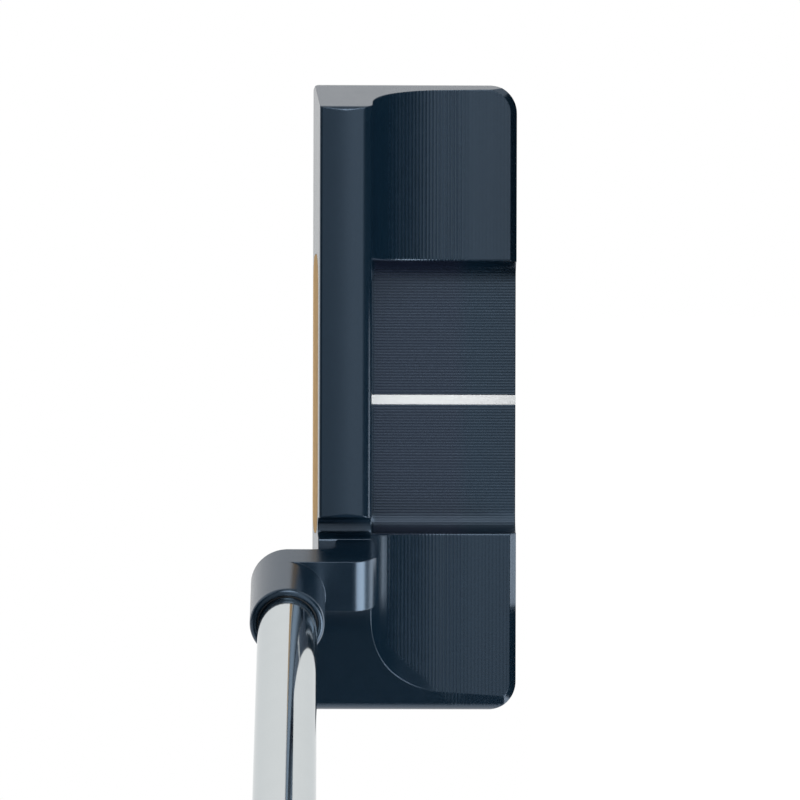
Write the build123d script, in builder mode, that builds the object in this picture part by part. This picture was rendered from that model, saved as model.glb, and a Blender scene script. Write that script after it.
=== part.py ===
from build123d import *
import os
from math import cos, radians, sin, tan

# A wide-blade golf putter: a milled head with a low centre pad between two bumpers, a gold face
# insert, a crank neck, a stepless shaft and a pistol grip. Millimetres.
# X runs from toe (-) to heel (+), Y from the target side (-) to the back of the head (+), Z is up.
# The origin is on the sole's flat, under the middle of the head.

# ---- driving sizes -------------------------------------------------------------------------------

# head, toe to heel
HEAD_LENGTH = 108.8          # widest, near the bottom of the end walls
HEAD_SHIFT = -0.5            # middle of the head's length, in X
TOP_LINE_TOE_INSET = 4.7     # the toe wall leans in by this much up to the top line
TOP_LINE_HEEL_X = 20.2       # heel end of the top line
END_CORNER_RADIUS = 7.0      # sole to end wall
END_WALL_Z = 8.0             # height of the widest point of the end walls

# head, front to back
HEAD_DEPTH = 35.6            # leading edge to rear wall
FACE_Y = -17.7               # where the face plane would meet the ground
FACE_LOFT = 3.1              # degrees
TOP_LINE_WIDTH = 9.0
TOP_LINE_CROWN = 0.3
LEADING_RADIUS = 3.4
REAR_RELIEF = 4.0            # the rear wall's foot, above the ground
SOLE_REAR_RUN = 7.0          # the sole rises to it over this run
REAR_HEEL_RADIUS = 2.0       # rear wall to that rise
SOLE_BLEND_RADIUS = 12.0     # that rise to the sole's flat
REAR_CORNER_RADIUS = 5.0     # plan radius of the two rear corners
FRONT_CORNER_RADIUS = 1.3    # plan radius of the two front corners

# head, heights
HEAD_HEIGHT = 25.0
BUMPER_HEIGHT = 11.9         # where the cove runs out
COVE_RUN = 12.8              # from the blade's rear wall back to there
COVE_WALL = 1.3              # upright wall between the top line's rounding and the cove
COVE_STEEP_ANGLE = 60.0      # the cove's tighter upper arc turns this far, a wider one the rest
BUMPER_FALL = 0.7            # from there down to the rear edge
PAD_HEIGHT = 6.0
PAD_COVE_RADIUS = 3.4        # corner between pad and bumper walls
TOP_FRONT_RADIUS = 0.6
TOP_REAR_RADIUS = 1.8
TOE_WALL_RADIUS = 5.0        # where the toe wall starts to lean in
TOE_EDGE_RADIUS = 0.9
BUMPER_CHAMFER = 1.1         # on the bumpers' rear top edges
BUMPER_EDGE_RADIUS = 0.35    # on the bumpers' edges along the pad

# centre pad, in X
PAD_TOE_X = -24.1
PAD_HEEL_X = 23.1

# heel block that carries the neck
SADDLE_WIDTH = 3.4           # groove between the top line and the heel block
SADDLE_DEPTH = 5.0
SADDLE_FLOOR_RADIUS = 1.5
SADDLE_EDGE_RADIUS = 0.7
BLOCK_DROP = 2.8             # the block's top, below the top line
SHOULDER_X = 36.9            # where the block's top would turn down
SHOULDER_RADIUS = 12.0
HEEL_WALL_Z = 9.5            # where the shoulder's slope would meet the heel wall
HEEL_EDGE_RADIUS = 3.0

# neck and shaft socket; distances along the shaft unless they say otherwise
LIE = 70.0                   # degrees between the shaft and the ground
SHAFT_AHEAD = 5.3            # shaft axis in front of the top line's front edge
SOCKET_WALL = 1.25           # round the bond
ARM_WIDTH = 9.05
ARM_GAP = 4.1                # block top to the arm's underside, on the toe side
ARM_THICK = 6.4
SOCKET_RISE = 12.7           # arm's top to the mouth
SOCKET_DEPTH = 16.0
POST_THICK = 7.4
POST_SETBACK = 0.4           # its toe face stands clear of the groove by this much
POST_OVERHANG = 1.2          # the arm stands behind the blade's rear wall by this much
ARM_BACK_RADIUS = 4.6
ARM_CORNER_RADIUS = 1.2
ARM_UNDER_RADIUS = 0.5       # this and the next: or what the gap from socket to post allows
ARM_INNER_RADIUS = 1.5
ARM_UNDER_CLEAR = 0.2        # flat left in that gap
RIM_RADIUS = 0.8
MOUTH_CHAMFER = 0.35
SPIGOT_RADIUS = 2.0
SPIGOT_LENGTH = 8.0
SPIGOT_GAP = 0.03
SPIGOT_MARGIN = 0.4          # spigot to the post's front
POST_BLEND_RADIUS = 4.0      # the post's back runs in to the blade's rear wall

# face insert
INSERT_TOE_X = -25.2
INSERT_HEEL_X = 23.0
INSERT_TOP_DROP = 4.8        # below the top line
INSERT_BOTTOM_Z = 3.9
INSERT_CORNER_RADIUS = 6.0
INSERT_THICK = 3.2
BACKING_THICK = 0.6
INSERT_GAP = 0.1             # all round the insert

# sight line
LINE_X = -0.08
LINE_WIDTH = 1.7
LINE_DEPTH = 0.35
LINE_FILL_DROP = 0.04        # the paint lies this far below the pad

# sole weights
WEIGHT_HEAD_RADIUS = 7.2
WEIGHT_HEAD_THICK = 2.2
WEIGHT_STEM_RADIUS = 5.0
WEIGHT_STEM_LENGTH = 4.0
WEIGHT_RECESS = 0.25         # head below the sole
WEIGHT_GAP = 0.1             # round the head
WEIGHT_STEM_GAP = 0.04       # round the stem
STEM_END_GAP = 0.5           # past the end of a stem or a spigot
WEIGHT_CHAMFER = 0.4
WRENCH_FLATS = 5.0
WRENCH_DEPTH = 3.2
WASHER_THICK = 0.5
WASHER_WIDTH = 1.5

# shaft
CLUB_LENGTH = 863.6          # ground to the end of the grip, along the shaft
SHAFT_LOWER_RADIUS = 5.0
SHAFT_BUTT_RADIUS = 7.5
SHAFT_WALL = 0.5
TAPER_START = 230.0
TAPER_END = 590.0
BOND_THICK = 0.1
TIP_PLUG_LENGTH = 8.0
TIP_PLUG_GAP = 0.03
BAND_LENGTH = 60.0
BAND_BELOW_GRIP = 25.0
BAND_THICK = 0.12

# grip
GRIP_LENGTH = 267.0
TAPE_THICK = 0.2
WRAP_THICK = 1.1
MOUTH_RING_LENGTH = 5.0
CAP_THICK = 4.0
CAP_PLUG_LENGTH = 6.0
CAP_PLUG_GAP = 0.1
VENT_RADIUS = 1.0
FRONT_ROUND = 0.55           # corner radii beside the flat, per half width
BACK_ROUND = 0.95            # corner radii at the back, per half width
CAP_EDGE_RADIUS = 1.5
# share of the grip's length, then how thick it is over the tape at the flat, the back and each side
GRIP_STATIONS = [
    (0.00, 1.9, 2.5, 2.4),
    (0.25, 2.3, 3.2, 3.0),
    (0.52, 2.8, 4.5, 4.1),
    (0.80, 3.4, 7.5, 5.5),
    (1.00, 3.9, 9.7, 6.3),
]

# how far a cut runs on past the surface that it opens, and how close counts as the same place
RUN_OUT = 1.0
SAME_HEIGHT = 0.3
SAME_POINT = 0.01

# ---- places worked out from them -----------------------------------------------------------------

toe_x = HEAD_SHIFT - HEAD_LENGTH / 2
heel_x = HEAD_SHIFT + HEAD_LENGTH / 2
rear_y = FACE_Y + HEAD_DEPTH
face_lean = radians(FACE_LOFT)
top_front_y = FACE_Y + HEAD_HEIGHT * tan(face_lean)
blade_rear_y = top_front_y + TOP_LINE_WIDTH
crown_z = HEAD_HEIGHT - TOP_LINE_CROWN
cove_top_z = crown_z - TOP_REAR_RADIUS - COVE_WALL
cove_fall = cove_top_z - BUMPER_HEIGHT
turn_cos = cos(radians(COVE_STEEP_ANGLE))
turn_sin = sin(radians(COVE_STEEP_ANGLE))
cove_end_y = blade_rear_y + COVE_RUN
# the two radii for which both arcs together have the cove's run and its fall
steep_radius = (cove_fall * turn_cos - COVE_RUN * (1 - turn_sin)) / (turn_cos + turn_sin - 1)
flare_radius = (COVE_RUN - steep_radius * (1 - turn_cos)) / turn_cos
block_top_z = HEAD_HEIGHT - BLOCK_DROP
saddle_heel_x = TOP_LINE_HEEL_X + SADDLE_WIDTH
saddle_z = HEAD_HEIGHT - SADDLE_DEPTH
rear_top_z = BUMPER_HEIGHT - BUMPER_FALL

pad_middle_y = (blade_rear_y + rear_y) / 2
face_plane = Plane(origin=(0, FACE_Y, 0), x_dir=(1, 0, 0), z_dir=(0, -cos(face_lean), sin(face_lean)))
weight_places = [(toe_x + PAD_TOE_X) / 2, (PAD_HEEL_X + heel_x) / 2]
weight_y = pad_middle_y
weight_seat_z = WEIGHT_RECESS + WEIGHT_HEAD_THICK + WASHER_THICK

lean = radians(90.0 - LIE)
socket_radius = SHAFT_LOWER_RADIUS + BOND_THICK + SOCKET_WALL
post_toe_x = saddle_heel_x + POST_SETBACK
shaft_ground_x = post_toe_x - block_top_z * tan(lean) + socket_radius / cos(lean)
shaft_y = top_front_y - SHAFT_AHEAD
shaft_plane = Plane(
    origin=(shaft_ground_x, shaft_y, 0),
    x_dir=(cos(lean), 0, -sin(lean)),
    z_dir=(sin(lean), 0, cos(lean)),
)
shaft_axis = Axis(shaft_plane.origin, shaft_plane.z_dir)
side_plane = Plane(origin=shaft_plane.origin, x_dir=(0, 1, 0), z_dir=shaft_plane.x_dir)

base_s = (block_top_z - socket_radius * sin(lean)) / cos(lean)
arm_bottom_s = base_s + ARM_GAP
arm_top_s = arm_bottom_s + ARM_THICK
mouth_s = arm_top_s + SOCKET_RISE
socket_floor_s = mouth_s - SOCKET_DEPTH
post_rear_y = blade_rear_y + POST_OVERHANG - shaft_y
post_front_y = post_rear_y - POST_THICK
under_gap = post_front_y - socket_radius - ARM_UNDER_CLEAR
spigot_y = post_front_y + SPIGOT_RADIUS + SPIGOT_MARGIN
spigot_x = ARM_WIDTH / 2 - socket_radius
spigot_bottom_s = base_s - SPIGOT_LENGTH

grip_start_s = CLUB_LENGTH - GRIP_LENGTH
tape_radius = SHAFT_BUTT_RADIUS + TAPE_THICK
shaft_end_s = CLUB_LENGTH - CAP_THICK

os.makedirs("parts", exist_ok=True)


def save(piece, name):
    """Label a finished piece and write it under its own name."""
    piece.part.label = name
    export_step(piece.part, f"parts/{name}.step")
    print(f"{name:20s} {piece.part.volume / 1000:9.3f} cm3")


# ---- head ----------------------------------------------------------------------------------------

def side_outline():
    """Front-to-back section: sole, face, crowned top line, cove, bumper top and rear wall."""
    with BuildSketch(Plane.YZ) as outline:
        with BuildLine():
            FilletPolyline(
                (cove_end_y, BUMPER_HEIGHT),
                (rear_y, rear_top_z),
                (rear_y, REAR_RELIEF),
                (rear_y - SOLE_REAR_RUN, 0),
                (FACE_Y, 0),
                (top_front_y, crown_z),
                radius=[0, REAR_HEEL_RADIUS, SOLE_BLEND_RADIUS, LEADING_RADIUS],
            )
            ThreePointArc(
                (top_front_y, crown_z),
                (top_front_y + TOP_LINE_WIDTH / 2, HEAD_HEIGHT),
                (blade_rear_y, crown_z),
            )
            Line((blade_rear_y, crown_z), (blade_rear_y, cove_top_z))
            steep = JernArc((blade_rear_y, cove_top_z), (0, -1), steep_radius, COVE_STEEP_ANGLE)
            JernArc(steep @ 1, steep % 1, flare_radius, 90 - COVE_STEEP_ANGLE)
        make_face()
        fillet(outline.vertices().sort_by_distance((top_front_y, crown_z))[0], TOP_FRONT_RADIUS)
        fillet(outline.vertices().sort_by_distance((blade_rear_y, crown_z))[0], TOP_REAR_RADIUS)
    return outline.sketch


def front_outline():
    """Toe-to-heel section: end walls, top line, saddle groove, heel block and shoulder."""
    corners = [
        ((toe_x, 0), END_CORNER_RADIUS),
        ((toe_x, END_WALL_Z), TOE_WALL_RADIUS),
        ((toe_x + TOP_LINE_TOE_INSET, HEAD_HEIGHT), TOE_EDGE_RADIUS),
        ((TOP_LINE_HEEL_X, HEAD_HEIGHT), SADDLE_EDGE_RADIUS),
        ((TOP_LINE_HEEL_X, saddle_z), SADDLE_FLOOR_RADIUS),
        ((saddle_heel_x, saddle_z), SADDLE_FLOOR_RADIUS),
        ((saddle_heel_x, block_top_z), SADDLE_EDGE_RADIUS),
        ((SHOULDER_X, block_top_z), SHOULDER_RADIUS),
        ((heel_x, HEEL_WALL_Z), HEEL_EDGE_RADIUS),
        ((heel_x, 0), END_CORNER_RADIUS),
    ]
    with BuildSketch(Plane.XZ) as outline:
        with BuildLine():
            FilletPolyline(
                [point for point, radius in corners],
                radius=[radius for point, radius in corners],
                close=True,
            )
        make_face()
    return outline.sketch


def plan_outline():
    """The head seen from above: a rectangle with large rear corners."""
    middle_x = (toe_x + heel_x) / 2
    middle_y = (FACE_Y + rear_y) / 2
    with BuildSketch(Plane.XY) as outline:
        with Locations((middle_x, middle_y)):
            Rectangle(heel_x - toe_x, rear_y - FACE_Y)
        fillet(outline.vertices().group_by(Axis.Y)[-1], REAR_CORNER_RADIUS)
        fillet(outline.vertices().group_by(Axis.Y)[0], FRONT_CORNER_RADIUS)
    return outline.sketch


def pad_pocket():
    """Section of the cut over the centre pad, with a cove at each bumper."""
    open_z = HEAD_HEIGHT + RUN_OUT
    with BuildSketch(Plane.XZ) as outline:
        with BuildLine():
            FilletPolyline(
                (PAD_TOE_X, open_z),
                (PAD_TOE_X, PAD_HEIGHT),
                (PAD_HEEL_X, PAD_HEIGHT),
                (PAD_HEEL_X, open_z),
                radius=[PAD_COVE_RADIUS] * 2,
                close=False,
            )
            Line((PAD_TOE_X, open_z), (PAD_HEEL_X, open_z))
        make_face()
    return outline.sketch


def rounded_face_plate(gap):
    """Outline of the face insert on the face plane, opened up by a gap all round."""
    bottom = INSERT_BOTTOM_Z / cos(face_lean) - gap
    top = (HEAD_HEIGHT - INSERT_TOP_DROP) / cos(face_lean) + gap
    width = INSERT_HEEL_X - INSERT_TOE_X + 2 * gap
    with BuildSketch(Plane.XY) as outline:
        with Locations(((INSERT_TOE_X + INSERT_HEEL_X) / 2, (bottom + top) / 2)):
            RectangleRounded(width, top - bottom, INSERT_CORNER_RADIUS + gap)
    return outline.sketch


with BuildPart() as head_body:
    add(extrude(side_outline(), HEAD_LENGTH, both=True, mode=Mode.PRIVATE))
    add(extrude(front_outline(), HEAD_DEPTH * 2, both=True, mode=Mode.PRIVATE), mode=Mode.INTERSECT)
    add(extrude(plan_outline(), HEAD_HEIGHT * 2, both=True, mode=Mode.PRIVATE), mode=Mode.INTERSECT)

    # bevel along the rear top edge and round its two corners
    upper = head_body.edges().filter_by_position(
        Axis.Z, rear_top_z - SAME_HEIGHT, rear_top_z + SAME_HEIGHT
    )
    rear_line = upper.filter_by(Axis.X).sort_by(Axis.Y)[-1]
    rear_corners = [
        edge
        for edge in upper.filter_by(GeomType.ELLIPSE)
        if any(
            (edge @ end - rear_line @ other).length < SAME_POINT
            for end in (0, 1)
            for other in (0, 1)
        )
    ]
    chamfer([rear_line] + rear_corners, BUMPER_CHAMFER)

    # low pad between the bumpers, open at the rear
    with BuildSketch(Plane.XZ.offset(-blade_rear_y)):
        add(pad_pocket())
    extrude(amount=-HEAD_DEPTH, mode=Mode.SUBTRACT)
    for wall_x in (PAD_TOE_X, PAD_HEEL_X):
        wall_edge = head_body.edges().filter_by(GeomType.LINE).sort_by_distance(
            (wall_x, (cove_end_y + rear_y) / 2, (BUMPER_HEIGHT + rear_top_z) / 2)
        )[0]
        fillet(wall_edge, BUMPER_EDGE_RADIUS)

    # sight line groove along the whole pad
    with Locations((LINE_X, pad_middle_y, PAD_HEIGHT - LINE_DEPTH)):
        Box(
            LINE_WIDTH, rear_y - blade_rear_y, LINE_DEPTH * 2,
            align=(Align.CENTER, Align.CENTER, Align.MIN), mode=Mode.SUBTRACT,
        )

    # pocket for the face insert and the soft bed behind it
    with BuildSketch(face_plane):
        add(rounded_face_plate(INSERT_GAP))
    extrude(amount=-(INSERT_THICK + BACKING_THICK), mode=Mode.SUBTRACT)

    # threaded holes for the sole weights
    for weight_x in weight_places:
        with Locations(Plane(origin=(weight_x, weight_y, 0), z_dir=(0, 0, -1))):
            CounterBoreHole(
                WEIGHT_STEM_RADIUS + WEIGHT_STEM_GAP,
                WEIGHT_HEAD_RADIUS + WEIGHT_GAP,
                weight_seat_z,
                weight_seat_z + WEIGHT_STEM_LENGTH + STEM_END_GAP,
            )

    # hole for the neck's spigot
    with BuildSketch(shaft_plane.offset(spigot_bottom_s - STEM_END_GAP)):
        with Locations((spigot_x, spigot_y)):
            Circle(SPIGOT_RADIUS + SPIGOT_GAP)
    extrude(amount=SPIGOT_LENGTH + ARM_GAP, mode=Mode.SUBTRACT)
save(head_body, "head_body")


# ---- neck ----------------------------------------------------------------------------------------

def arm_side():
    """The arm and post seen along X: a rounded back, and a notch under the arm."""
    foot_s = base_s - POST_THICK
    with BuildSketch(side_plane) as outline:
        with BuildLine():
            FilletPolyline(
                (-socket_radius, arm_bottom_s),
                (-socket_radius, arm_top_s),
                (post_rear_y, arm_top_s),
                (post_rear_y, arm_bottom_s),
                (post_rear_y - POST_OVERHANG, base_s),
                (post_rear_y - POST_OVERHANG, foot_s),
                (post_front_y, foot_s),
                (post_front_y, arm_bottom_s),
                radius=[
                    0, 0, ARM_BACK_RADIUS, POST_BLEND_RADIUS,
                    0, 0, 0, min(ARM_INNER_RADIUS, under_gap),
                ],
                close=True,
            )
        make_face()
    return outline.sketch


def arm_plan():
    """The arm seen along the shaft: it runs from the socket's toe side straight to the back."""
    with BuildSketch(shaft_plane.offset(base_s - POST_THICK)) as outline:
        with Locations((ARM_WIDTH / 2 - socket_radius, post_rear_y / 2)):
            Rectangle(ARM_WIDTH, post_rear_y)
        fillet(outline.vertices().group_by(Axis.Y)[-1], ARM_CORNER_RADIUS)
        Circle(socket_radius)
    return outline.sketch


with BuildPart() as crank_neck:
    add(extrude(arm_plan(), SOCKET_RISE + ARM_THICK * 4, mode=Mode.PRIVATE))
    add(extrude(arm_side(), socket_radius * 2, both=True, mode=Mode.PRIVATE), mode=Mode.INTERSECT)
    with Locations((post_toe_x, shaft_y + (socket_radius + post_front_y) / 2, block_top_z)):
        Box(
            HEAD_LENGTH, HEAD_DEPTH, HEAD_HEIGHT,
            align=(Align.CENTER, Align.MIN, Align.MAX), mode=Mode.SUBTRACT,
        )
    with BuildSketch(shaft_plane.offset(arm_bottom_s)):
        Circle(socket_radius)
    extrude(amount=mouth_s - arm_bottom_s)
    with BuildSketch(shaft_plane.offset(spigot_bottom_s)):
        with Locations((spigot_x, spigot_y)):
            Circle(SPIGOT_RADIUS)
    extrude(amount=SPIGOT_LENGTH + ARM_GAP)
    with BuildSketch(shaft_plane.offset(mouth_s)):
        Circle(SHAFT_LOWER_RADIUS + BOND_THICK)
    extrude(amount=-SOCKET_DEPTH, mode=Mode.SUBTRACT)

    # softened edges: the mouth's rim, the socket's lower end and the arm's lower edges
    mouth_face = crank_neck.faces().sort_by(shaft_axis)[-1]
    chamfer(mouth_face.inner_wires()[0].edges(), MOUTH_CHAMFER)
    mouth_face = crank_neck.faces().sort_by(shaft_axis)[-1]
    fillet(mouth_face.outer_wire().edges(), RIM_RADIUS)
    under_face = crank_neck.faces().sort_by_distance(shaft_plane.offset(arm_bottom_s).origin)[0]
    fillet(under_face.edges().filter_by(GeomType.CIRCLE), min(ARM_UNDER_RADIUS, under_gap))
save(crank_neck, "crank_neck")


# ---- face insert, its bed and the sight line -----------------------------------------------------

with BuildPart() as face_insert:
    with BuildSketch(face_plane):
        add(rounded_face_plate(0))
    extrude(amount=-INSERT_THICK)
save(face_insert, "face_insert")

with BuildPart() as insert_backing:
    with BuildSketch(face_plane.offset(-INSERT_THICK)):
        add(rounded_face_plate(0))
    extrude(amount=-BACKING_THICK)
save(insert_backing, "insert_backing")

with BuildPart() as sight_line_fill:
    with Locations((LINE_X, pad_middle_y, PAD_HEIGHT - LINE_DEPTH)):
        Box(
            LINE_WIDTH, rear_y - blade_rear_y, LINE_DEPTH - LINE_FILL_DROP,
            align=(Align.CENTER, Align.CENTER, Align.MIN),
        )
save(sight_line_fill, "sight_line_fill")


# ---- sole weights --------------------------------------------------------------------------------

def make_weight(weight_x, name):
    """A threaded plug whose head lies just below the sole, with a hexagonal wrench socket."""
    outside = Plane(origin=(weight_x, weight_y, WEIGHT_RECESS), z_dir=(0, 0, -1))
    with BuildPart() as weight:
        with BuildSketch(outside):
            Circle(WEIGHT_HEAD_RADIUS)
        extrude(amount=-WEIGHT_HEAD_THICK)
        with BuildSketch(outside):
            Circle(WEIGHT_STEM_RADIUS)
        extrude(amount=-(WEIGHT_HEAD_THICK + WASHER_THICK + WEIGHT_STEM_LENGTH))
        outer = weight.edges().filter_by(GeomType.CIRCLE).group_by(Axis.Z)[0]
        chamfer(outer, WEIGHT_CHAMFER)
        with BuildSketch(outside):
            RegularPolygon(WRENCH_FLATS / 2, 6, major_radius=False)
        extrude(amount=-WRENCH_DEPTH, mode=Mode.SUBTRACT)
    save(weight, name)


def make_washer(weight_x, name):
    """A soft ring between a weight's head and its seat."""
    with BuildPart() as washer:
        with BuildSketch(Plane(origin=(weight_x, weight_y, weight_seat_z - WASHER_THICK))):
            Circle(WEIGHT_HEAD_RADIUS)
            Circle(WEIGHT_HEAD_RADIUS - WASHER_WIDTH, mode=Mode.SUBTRACT)
        extrude(amount=WASHER_THICK)
    save(washer, name)


for side, place in zip(("toe", "heel"), weight_places):
    make_weight(place, f"{side}_weight")
    make_washer(place, f"{side}_weight_washer")


# ---- shaft ---------------------------------------------------------------------------------------

def shaft_radius(distance):
    """Outer radius of the shaft at a distance from the ground."""
    share = (distance - TAPER_START) / (TAPER_END - TAPER_START)
    share = min(max(share, 0), 1)
    return SHAFT_LOWER_RADIUS + share * (SHAFT_BUTT_RADIUS - SHAFT_LOWER_RADIUS)


def ring_round_shaft(rows):
    """Revolve a closed outline of (radius, distance) points round the shaft's axis."""
    with BuildPart() as ring:
        with BuildSketch(side_plane):
            with BuildLine():
                Polyline(rows, close=True)
            make_face()
        revolve(axis=shaft_axis)
    return ring


tip_s = socket_floor_s + STEM_END_GAP
bend_s = [tip_s, TAPER_START, TAPER_END, shaft_end_s]
outside_rows = [(shaft_radius(distance), distance) for distance in bend_s]
inside_rows = [(radius - SHAFT_WALL, distance) for radius, distance in reversed(outside_rows)]
shaft = ring_round_shaft(outside_rows + inside_rows)
save(shaft, "shaft")

bond_top_s = mouth_s - MOUTH_CHAMFER
bond_outer = SHAFT_LOWER_RADIUS + BOND_THICK
shaft_bond = ring_round_shaft(
    [
        (SHAFT_LOWER_RADIUS, tip_s),
        (bond_outer, tip_s),
        (bond_outer, bond_top_s),
        (SHAFT_LOWER_RADIUS, bond_top_s),
    ]
)
save(shaft_bond, "shaft_bond")

with BuildPart() as shaft_tip_plug:
    with BuildSketch(shaft_plane.offset(tip_s)):
        Circle(SHAFT_LOWER_RADIUS - SHAFT_WALL - TIP_PLUG_GAP)
    extrude(amount=TIP_PLUG_LENGTH)
save(shaft_tip_plug, "shaft_tip_plug")

band_top_s = grip_start_s - BAND_BELOW_GRIP
band_ends = [band_top_s - BAND_LENGTH, band_top_s]
band_inside = [(shaft_radius(distance), distance) for distance in band_ends]
band_outside = [(radius + BAND_THICK, distance) for radius, distance in reversed(band_inside)]
shaft_band = ring_round_shaft(band_inside + band_outside)
save(shaft_band, "shaft_band")


# ---- grip ----------------------------------------------------------------------------------------

def grip_form(inset):
    """The grip's tapered pistol shape, flat on the toe side, made smaller all round by an inset."""
    with BuildPart() as form:
        for share, flat_wall, back_wall, side_wall in GRIP_STATIONS:
            flat = tape_radius + flat_wall - inset
            back = tape_radius + back_wall - inset
            half = tape_radius + side_wall - inset
            front_round = (half + inset) * FRONT_ROUND - inset
            back_round = (half + inset) * BACK_ROUND - inset
            with BuildSketch(shaft_plane.offset(grip_start_s + share * GRIP_LENGTH)):
                with BuildLine():
                    FilletPolyline(
                        (-flat, -half),
                        (-flat, half),
                        (back, half),
                        (back, -half),
                        radius=[front_round, front_round, back_round, back_round],
                        close=True,
                    )
                make_face()
        loft()
    return form.part


def between(part, low_s, high_s):
    """The stretch of a grip part between two distances along the shaft."""
    lower = split(part, bisect_by=shaft_plane.offset(high_s), keep=Keep.BOTTOM, mode=Mode.PRIVATE)
    return split(lower, bisect_by=shaft_plane.offset(low_s), keep=Keep.TOP, mode=Mode.PRIVATE)


grip_outside = grip_form(0)
grip_inside = grip_form(WRAP_THICK)
ring_top_s = grip_start_s + MOUTH_RING_LENGTH

grip_tape = ring_round_shaft(
    [
        (SHAFT_BUTT_RADIUS, grip_start_s),
        (tape_radius, grip_start_s),
        (tape_radius, shaft_end_s),
        (SHAFT_BUTT_RADIUS, shaft_end_s),
    ]
)
save(grip_tape, "grip_tape")

with BuildPart() as grip_core:
    add(between(grip_inside, ring_top_s, shaft_end_s))
    with BuildSketch(shaft_plane.offset(ring_top_s)):
        Circle(tape_radius)
    extrude(amount=shaft_end_s - ring_top_s, mode=Mode.SUBTRACT)
save(grip_core, "grip_core")

with BuildPart() as grip_wrap:
    add(between(grip_outside, ring_top_s, shaft_end_s))
    add(between(grip_inside, ring_top_s, shaft_end_s), mode=Mode.SUBTRACT)
save(grip_wrap, "grip_wrap")

with BuildPart() as grip_mouth_ring:
    add(between(grip_outside, grip_start_s, ring_top_s))
    with BuildSketch(shaft_plane.offset(grip_start_s)):
        Circle(tape_radius)
    extrude(amount=MOUTH_RING_LENGTH, mode=Mode.SUBTRACT)
save(grip_mouth_ring, "grip_mouth_ring")

with BuildPart() as grip_end_cap:
    add(between(grip_outside, shaft_end_s, CLUB_LENGTH))
    with BuildSketch(shaft_plane.offset(shaft_end_s)):
        Circle(SHAFT_BUTT_RADIUS - SHAFT_WALL - CAP_PLUG_GAP)
    extrude(amount=-CAP_PLUG_LENGTH)
    with BuildSketch(shaft_plane.offset(shaft_end_s - CAP_PLUG_LENGTH)):
        Circle(VENT_RADIUS)
    extrude(amount=CAP_THICK + CAP_PLUG_LENGTH, mode=Mode.SUBTRACT)
    butt_face = grip_end_cap.faces().sort_by(shaft_axis)[-1]
    fillet(butt_face.outer_wire().edges(), CAP_EDGE_RADIUS)
save(grip_end_cap, "grip_end_cap")
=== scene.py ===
"""Looks for a wide-blade golf putter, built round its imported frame. Metres, in the frame's axes."""

import logging
import math
from dataclasses import dataclass, field
from enum import Enum
from typing import Any, Callable, Iterable

import bmesh
import bpy
from mathutils import Matrix, Vector


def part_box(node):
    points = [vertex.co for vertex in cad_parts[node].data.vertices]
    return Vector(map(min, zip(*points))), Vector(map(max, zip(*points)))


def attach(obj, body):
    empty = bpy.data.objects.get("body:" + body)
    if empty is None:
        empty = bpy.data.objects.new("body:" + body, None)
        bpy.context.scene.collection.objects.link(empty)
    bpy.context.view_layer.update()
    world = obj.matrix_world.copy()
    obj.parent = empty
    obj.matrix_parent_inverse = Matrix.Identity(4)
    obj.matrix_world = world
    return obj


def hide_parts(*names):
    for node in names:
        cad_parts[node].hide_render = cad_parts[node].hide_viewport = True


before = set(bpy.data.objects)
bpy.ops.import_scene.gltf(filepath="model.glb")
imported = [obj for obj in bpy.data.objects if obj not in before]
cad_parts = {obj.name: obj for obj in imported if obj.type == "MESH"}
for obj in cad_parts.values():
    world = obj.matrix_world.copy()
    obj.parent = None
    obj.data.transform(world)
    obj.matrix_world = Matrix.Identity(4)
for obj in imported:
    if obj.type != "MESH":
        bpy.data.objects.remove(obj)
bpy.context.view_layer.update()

log = logging.getLogger("putter")

MM = 0.001
BODY = "root"
Colour = tuple[float, float, float]


# ---- shader maths --------------------------------------------------------------------------------

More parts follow.
